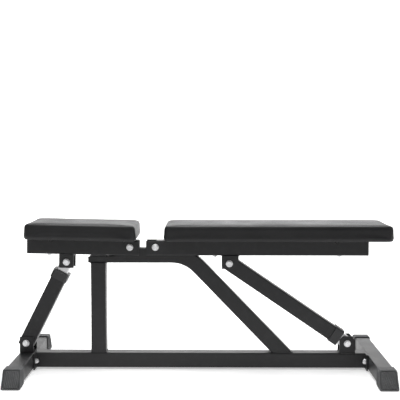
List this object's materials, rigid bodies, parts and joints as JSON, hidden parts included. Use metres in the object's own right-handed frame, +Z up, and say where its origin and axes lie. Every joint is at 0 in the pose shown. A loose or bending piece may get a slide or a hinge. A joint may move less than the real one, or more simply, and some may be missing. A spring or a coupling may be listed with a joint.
{
  "type": "adjustable weight bench",
  "caption": "Flat weight bench on a tube frame with splayed rubber feet; the backrest and the seat tilt on telescoping struts held by pull pins.",
  "frame": {"origin": "on the floor, midway along the length and the width", "axes": "+X from the seat towards the head end, +Y across the bench, +Z up"},
  "size_m": [1.2376, 0.576, 0.4973],
  "materials": {
    "frame_black": "satin powder coat",
    "zinc": "bright zinc plate",
    "rubber": "moulded, matte",
    "plastic": "fine texture",
    "vinyl": "embossed vinyl, satin",
    "foam": "open-cell foam",
    "plywood": "plain"
  },
  "bodies": {
    "frame": {"base_rail": "frame_black", "front_end_plate": "frame_black", "rear_end_plate": "frame_black", "front_stabilizer": "frame_black", "rear_stabilizer": "frame_black", "foot_cap_front_near": "rubber", "foot_cap_front_far": "rubber", "foot_cap_rear_near": "rubber", "foot_cap_rear_far": "rubber", "front_post": "frame_black", "main_brace": "frame_black", "seat_rest_bumper": "rubber", "seat_hinge_barrel": "zinc", "back_hinge_barrel": "zinc", "front_strut_bracket": "frame_black", "rear_strut_bracket": "frame_black", "stabilizer_bolt_front_near": "zinc", "stabilizer_bolt_front_far": "zinc", "stabilizer_bolt_rear_near": "zinc", "stabilizer_bolt_rear_far": "zinc", "seat_pivot_bolt": "zinc", "back_pivot_bolt": "zinc", "seat_strut_foot_bolt": "zinc", "back_strut_foot_bolt_head": "zinc", "back_strut_foot_bolt_nut": "zinc"},
    "seat": {"seat_beam": "frame_black", "seat_beam_plug": "plastic", "seat_strut_bracket": "frame_black", "seat_pad_cross_bar_front": "frame_black", "seat_pad_cross_bar_rear": "frame_black", "seat_pad_board": "plywood", "seat_pad_foam": "foam", "seat_pad_cover": "vinyl", "seat_pad_bolt_front": "zinc", "seat_strut_top_bolt_head": "zinc", "seat_strut_top_bolt_nut": "zinc"},
    "backrest": {"back_beam": "frame_black", "back_beam_plug": "plastic", "back_strut_bracket": "frame_black", "back_pad_cross_bar_lower": "frame_black", "back_pad_cross_bar_upper": "frame_black", "back_pad_board": "plywood", "back_pad_foam": "foam", "back_pad_cover": "vinyl", "back_pad_bolt_lower": "zinc", "back_pad_bolt_upper": "zinc", "back_strut_top_bolt": "zinc"},
    "seat_strut_outer": {"seat_strut_outer": "frame_black", "seat_strut_collar": "plastic", "seat_pull_pin_housing": "zinc"},
    "seat_strut_inner": {"seat_strut_inner": "zinc", "seat_strut_spacer": "zinc"},
    "seat_pin": {"seat_pull_pin": "plastic"},
    "back_strut_outer": {"back_strut_outer": "frame_black", "back_strut_collar": "plastic", "back_pull_pin_housing": "zinc"},
    "back_strut_inner": {"back_strut_inner": "zinc", "back_strut_spacer": "zinc"},
    "back_pin": {"back_pull_pin": "plastic"}
  },
  "joints": [
    {"name": "seat_tilt", "type": "hinge", "parent": "frame", "child": "seat", "pos_m": [-0.239, 0, 0.412], "axis": [0, 1, 0], "range_deg": [0, 15]},
    {"name": "back_tilt", "type": "hinge", "parent": "frame", "child": "backrest", "pos_m": [-0.154, 0, 0.412], "axis": [0, -1, 0], "range_deg": [0, 92], "deforming": ["seat_pad_cover"]},
    {"name": "seat_strut_swing", "type": "hinge", "parent": "frame", "child": "seat_strut_outer", "pos_m": [-0.588, 0, 0.0888], "axis": [0, -1, 0], "range_deg": [0, 4.92]},
    {"name": "seat_strut_slide", "type": "slide", "parent": "seat_strut_outer", "child": "seat_strut_inner", "axis": [0.4482, 0, 0.8939], "range_m": [0, 0.04932]},
    {"name": "seat_pin_pull", "type": "slide", "parent": "seat_strut_outer", "child": "seat_pin", "axis": [0, 1, 0], "range_m": [0, 0.008], "stiffness_N_per_m": 400, "springref_m": -0.004},
    {"name": "back_strut_swing", "type": "hinge", "parent": "backrest", "child": "back_strut_outer", "pos_m": [0.0925, 0, 0.358], "axis": [0, -1, 0], "range_deg": [-101.51, 0]},
    {"name": "back_strut_slide", "type": "slide", "parent": "back_strut_outer", "child": "back_strut_inner", "axis": [0.8263, 0, -0.5632], "range_m": [0, 0.34777]},
    {"name": "back_pin_pull", "type": "slide", "parent": "back_strut_outer", "child": "back_pin", "axis": [0, 1, 0], "range_m": [0, 0.008], "stiffness_N_per_m": 400, "springref_m": -0.004}
  ],
  "couplings": [
    {"joint": "seat_strut_swing", "follows": "seat_tilt", "ratio": 0.32805},
    {"joint": "seat_strut_slide", "follows": "seat_tilt", "m_per_rad": 0.1884},
    {"joint": "back_strut_swing", "follows": "back_tilt", "ratio": -1.1034},
    {"joint": "back_strut_slide", "follows": "back_tilt", "m_per_rad": 0.21659}
  ]
}
